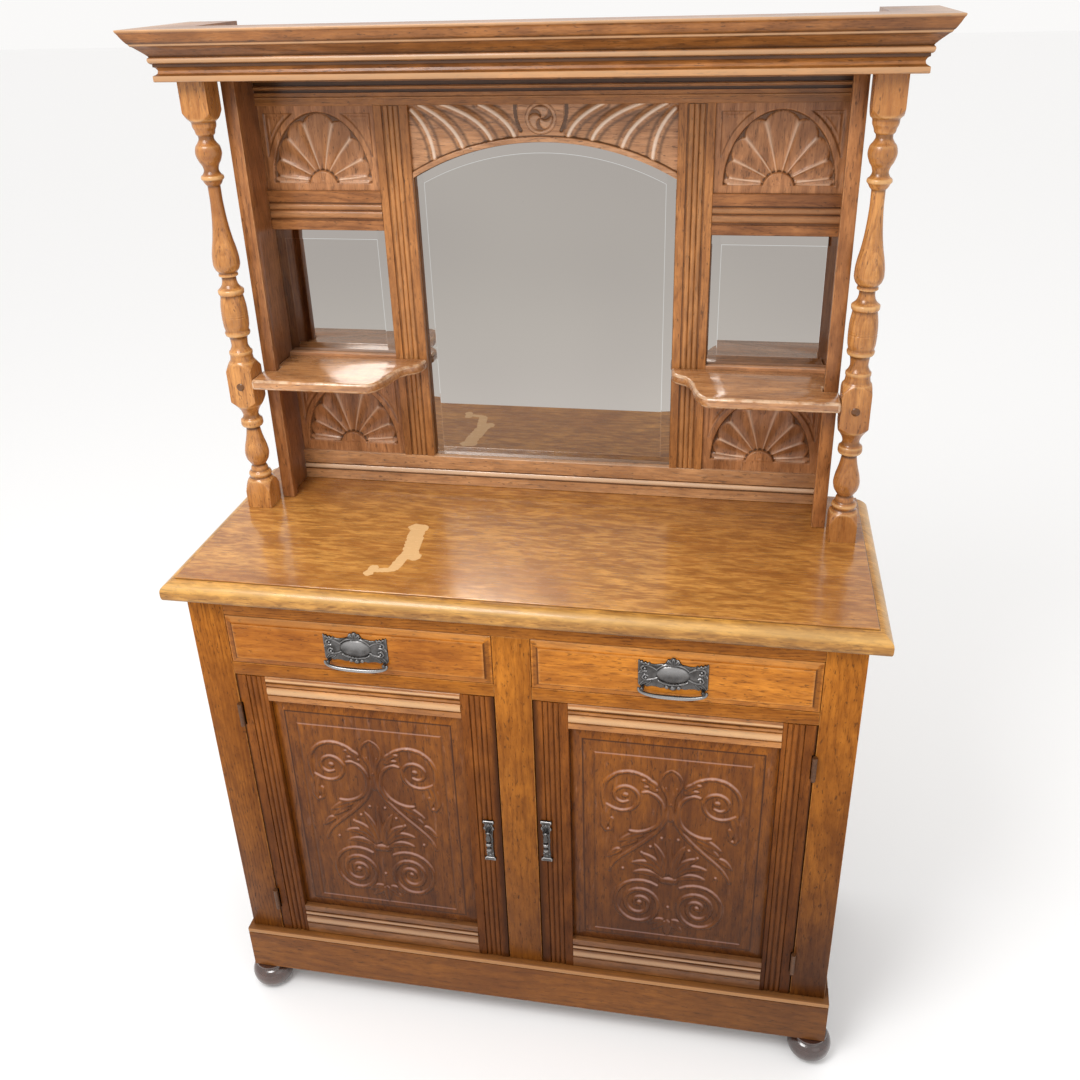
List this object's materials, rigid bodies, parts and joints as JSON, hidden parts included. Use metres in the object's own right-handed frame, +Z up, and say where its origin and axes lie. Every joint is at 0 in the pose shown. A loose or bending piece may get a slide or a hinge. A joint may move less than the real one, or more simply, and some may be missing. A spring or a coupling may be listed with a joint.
{
  "type": "mirror-back sideboard",
  "caption": "Oak sideboard with drawers over carved cupboard doors, bun feet, and a shelved mirror back with turned columns and a deep cornice.",
  "frame": {"origin": "on the floor, under the middle of the sideboard's bounding box", "axes": "+X to the right of someone who faces the doors, +Y to the back, +Z up"},
  "size_m": [1.256, 0.474, 1.871],
  "materials": {
    "oak": "polished golden oak, worn satin varnish",
    "light_oak": "lighter golden oak, satin varnish",
    "dark_oak": "darker brown oak, satin varnish",
    "panel_oak": "red-brown carved oak, satin varnish",
    "carved_oak": "mid-brown carved oak, satin varnish",
    "plain_oak": "plain unpolished secondary wood",
    "pewter": "dark aged metal with pewter-grey patina",
    "mirror_glass": "silvered bevelled mirror glass"
  },
  "bodies": {
    "case": {"back_frame": "oak", "base_back": "plain_oak", "bottom_board": "plain_oak", "canopy_board": "dark_oak", "centre_mirror": "mirror_glass", "centre_stile": "oak", "cornice": "dark_oak", "cupboard_shelf": "plain_oak", "dust_board": "plain_oak", "head_panel": "carved_oak", "left_back_foot": "dark_oak", "left_column": "light_oak", "left_front_foot": "dark_oak", "left_lower_hinge": "pewter", "left_lower_shell": "carved_oak", "left_mid_rail": "oak", "left_mirror": "mirror_glass", "left_shelf": "oak", "left_side": "oak", "left_stile": "oak", "left_upper_hinge": "pewter", "left_upper_shell": "carved_oak", "left_upright": "dark_oak", "plinth_front": "oak", "plinth_left": "oak", "plinth_right": "oak", "right_back_foot": "dark_oak", "right_column": "light_oak", "right_front_foot": "dark_oak", "right_lower_hinge": "pewter", "right_lower_shell": "carved_oak", "right_mid_rail": "oak", "right_mirror": "mirror_glass", "right_shelf": "oak", "right_side": "oak", "right_stile": "oak", "right_upper_hinge": "pewter", "right_upper_shell": "carved_oak", "right_upright": "dark_oak", "top_board": "oak", "top_rail": "oak", "upper_back": "dark_oak"},
    "left_door": {"left_door_frame": "oak", "left_door_panel": "panel_oak", "left_pull_plate": "pewter"},
    "left_drawer": {"left_drawer_front": "light_oak", "left_drawer_box": "plain_oak", "left_drawer_bottom": "plain_oak", "left_handle_plate": "pewter"},
    "left_bail": {"left_bail": "pewter"},
    "left_drop": {"left_pull_drop": "pewter"},
    "right_door": {"right_door_frame": "oak", "right_door_panel": "panel_oak", "right_pull_plate": "pewter"},
    "right_drawer": {"right_drawer_front": "light_oak", "right_drawer_box": "plain_oak", "right_drawer_bottom": "plain_oak", "right_handle_plate": "pewter"},
    "right_bail": {"right_bail": "pewter"},
    "right_drop": {"right_pull_drop": "pewter"}
  },
  "joints": [
    {"name": "left_door_hinge", "type": "hinge", "parent": "case", "child": "left_door", "pos_m": [-0.51325, -0.2135, 0.489], "axis": [0, 0, -1], "range_deg": [0, 105]},
    {"name": "left_drawer_slide", "type": "slide", "parent": "case", "child": "left_drawer", "axis": [0, -1, 0], "range_m": [0, 0.3]},
    {"name": "left_bail_hinge", "type": "hinge", "parent": "left_drawer", "child": "left_bail", "pos_m": [-0.2735, -0.2226, 0.867], "axis": [-1, 0, 0], "range_deg": [0, 100]},
    {"name": "left_drop_hinge", "type": "hinge", "parent": "left_door", "child": "left_drop", "pos_m": [-0.0585, -0.2176, 0.502], "axis": [-1, 0, 0], "range_deg": [0, 90]},
    {"name": "right_door_hinge", "type": "hinge", "parent": "case", "child": "right_door", "pos_m": [0.51325, -0.2135, 0.489], "axis": [0, 0, 1], "range_deg": [0, 105]},
    {"name": "right_drawer_slide", "type": "slide", "parent": "case", "child": "right_drawer", "axis": [0, -1, 0], "range_m": [0, 0.3]},
    {"name": "right_bail_hinge", "type": "hinge", "parent": "right_drawer", "child": "right_bail", "pos_m": [0.2735, -0.2226, 0.867], "axis": [-1, 0, 0], "range_deg": [0, 100]},
    {"name": "right_drop_hinge", "type": "hinge", "parent": "right_door", "child": "right_drop", "pos_m": [0.0505, -0.2176, 0.516], "axis": [-1, 0, 0], "range_deg": [0, 90]}
  ]
}
